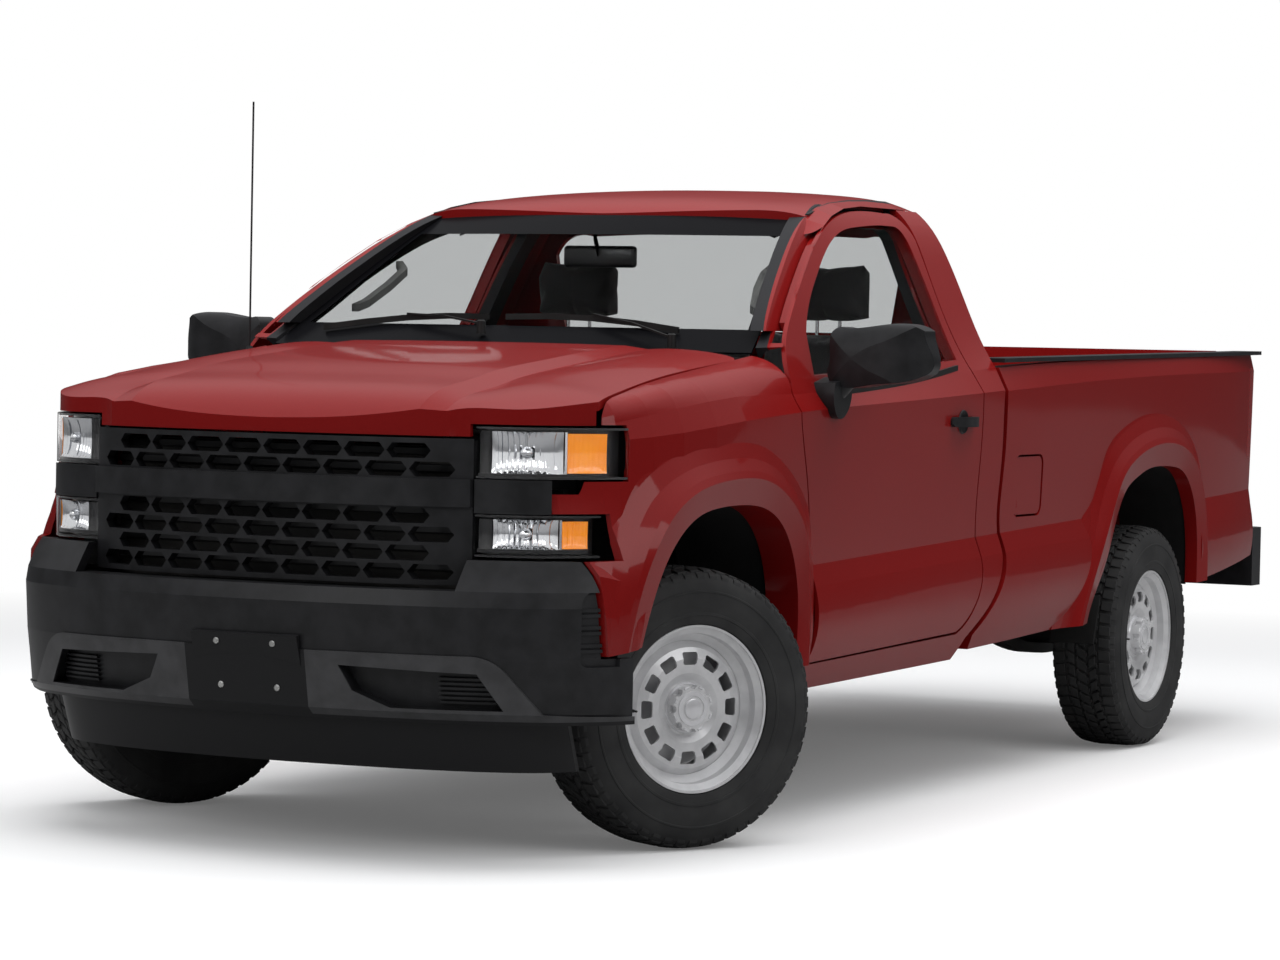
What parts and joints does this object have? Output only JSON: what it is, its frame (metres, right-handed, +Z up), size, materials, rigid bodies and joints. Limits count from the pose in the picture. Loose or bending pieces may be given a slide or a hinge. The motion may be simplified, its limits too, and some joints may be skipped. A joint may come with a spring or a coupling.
{
  "type": "regular cab pickup truck",
  "caption": "Two-door full-size pickup truck with a long load bed, opening doors, hood, tailgate and fuel door, steered front wheels and a full underbody.",
  "frame": {"origin": "on the ground under the middle of the overall length, on the centre line", "axes": "+X forward, +Y to the driver's left, +Z up"},
  "size_m": [5.829, 2.587, 2.125],
  "materials": {
    "body_paint": "red metallic clear coat",
    "black_paint": "satin black chassis paint",
    "cast": "rough cast",
    "exhaust_steel": "dull steel",
    "wheel_steel": "silver wheel paint",
    "tyre": "matt rubber",
    "glass": "clear tinted",
    "lens": "clear lamp lens",
    "lamp_red": "red and clear lamp",
    "lamp_chrome": "bright reflector",
    "black_trim": "grained black",
    "dark_interior": "soft grained dark",
    "seat_fabric": "dark woven",
    "liner": "rough black"
  },
  "bodies": {
    "chassis": {"fenders": "body_paint", "cab_shell": "body_paint", "roof": "body_paint", "bedsides": "body_paint", "bed_tub": "body_paint", "cab_glass": "glass", "cowl": "black_trim", "cab_floor": "dark_interior", "dashboard": "dark_interior", "seat": "seat_fabric", "steering_wheel": "dark_interior", "tail_lamps": "lamp_red", "rail_caps": "black_trim", "headlamp_lenses": "lens", "headlamp_bodies": "lamp_chrome", "grille": "black_trim", "front_carrier": "black_paint", "front_bumper": "black_trim", "front_lower_trim": "black_trim", "rear_bumper": "black_trim", "frame": "black_paint", "rear_axle": "black_paint", "engine": "cast", "exhaust": "exhaust_steel", "fuel_tank": "black_trim", "wheel_liners": "liner"},
    "door_left_body": {"door_left": "body_paint", "door_glass_left": "glass", "door_trim_left": "black_trim"},
    "door_right_body": {"door_right": "body_paint", "door_glass_right": "glass", "door_trim_right": "black_trim"},
    "hood_body": {"hood": "body_paint"},
    "tailgate_body": {"tailgate": "body_paint"},
    "fuel_door_body": {"fuel_door": "body_paint"},
    "knuckle_left_body": {"knuckle_left": "cast"},
    "knuckle_right_body": {"knuckle_right": "cast"},
    "wheel_front_left": {"rim_front_left": "wheel_steel", "tyre_front_left": "tyre"},
    "wheel_front_right": {"rim_front_right": "wheel_steel", "tyre_front_right": "tyre"},
    "wheel_rear_left": {"rim_rear_left": "wheel_steel", "tyre_rear_left": "tyre"},
    "wheel_rear_right": {"rim_rear_right": "wheel_steel", "tyre_rear_right": "tyre"}
  },
  "joints": [
    {"name": "door_left_hinge", "type": "hinge", "parent": "chassis", "child": "door_left_body", "pos_m": [1.3315, 0.992, 0.8], "axis": [0, 0, -1], "range_deg": [0, 62]},
    {"name": "door_right_hinge", "type": "hinge", "parent": "chassis", "child": "door_right_body", "pos_m": [1.3315, -0.992, 0.8], "axis": [0, 0, 1], "range_deg": [0, 62]},
    {"name": "hood_hinge", "type": "hinge", "parent": "chassis", "child": "hood_body", "pos_m": [1.5345, 0, 1.42], "axis": [0, -1, 0], "range_deg": [0, 48]},
    {"name": "tailgate_hinge", "type": "hinge", "parent": "chassis", "child": "tailgate_body", "pos_m": [-2.7085, 0, 0.822], "axis": [0, -1, 0], "range_deg": [0, 90]},
    {"name": "fuel_door_hinge", "type": "hinge", "parent": "chassis", "child": "fuel_door_body", "pos_m": [-0.2425, 0.981, 0.963], "axis": [0, 0, -1], "range_deg": [0, 90]},
    {"name": "steer_left", "type": "hinge", "parent": "chassis", "child": "knuckle_left_body", "pos_m": [1.9595, 0.793, 0.394], "axis": [0, 0, 1], "range_deg": [-5.6, 66.4]},
    {"name": "steer_right", "type": "hinge", "parent": "chassis", "child": "knuckle_right_body", "pos_m": [1.9595, -0.793, 0.394], "axis": [0, 0, 1], "range_deg": [-5.6, 66.4]},
    {"name": "spin_front_left", "type": "hinge", "parent": "knuckle_left_body", "child": "wheel_front_left", "pos_m": [1.9595, 0.793, 0.394], "axis": [0.506, 0.8625, 0], "continuous": true},
    {"name": "spin_front_right", "type": "hinge", "parent": "knuckle_right_body", "child": "wheel_front_right", "pos_m": [1.9595, -0.793, 0.394], "axis": [0.506, 0.8625, 0], "continuous": true},
    {"name": "spin_rear_left", "type": "hinge", "parent": "chassis", "child": "wheel_rear_left", "pos_m": [-1.5855, 0.865, 0.394], "axis": [0, 1, 0], "continuous": true},
    {"name": "spin_rear_right", "type": "hinge", "parent": "chassis", "child": "wheel_rear_right", "pos_m": [-1.5855, -0.865, 0.394], "axis": [0, 1, 0], "continuous": true}
  ],
  "couplings": [
    {"joint": "steer_right", "follows": "steer_left", "ratio": 1}
  ]
}
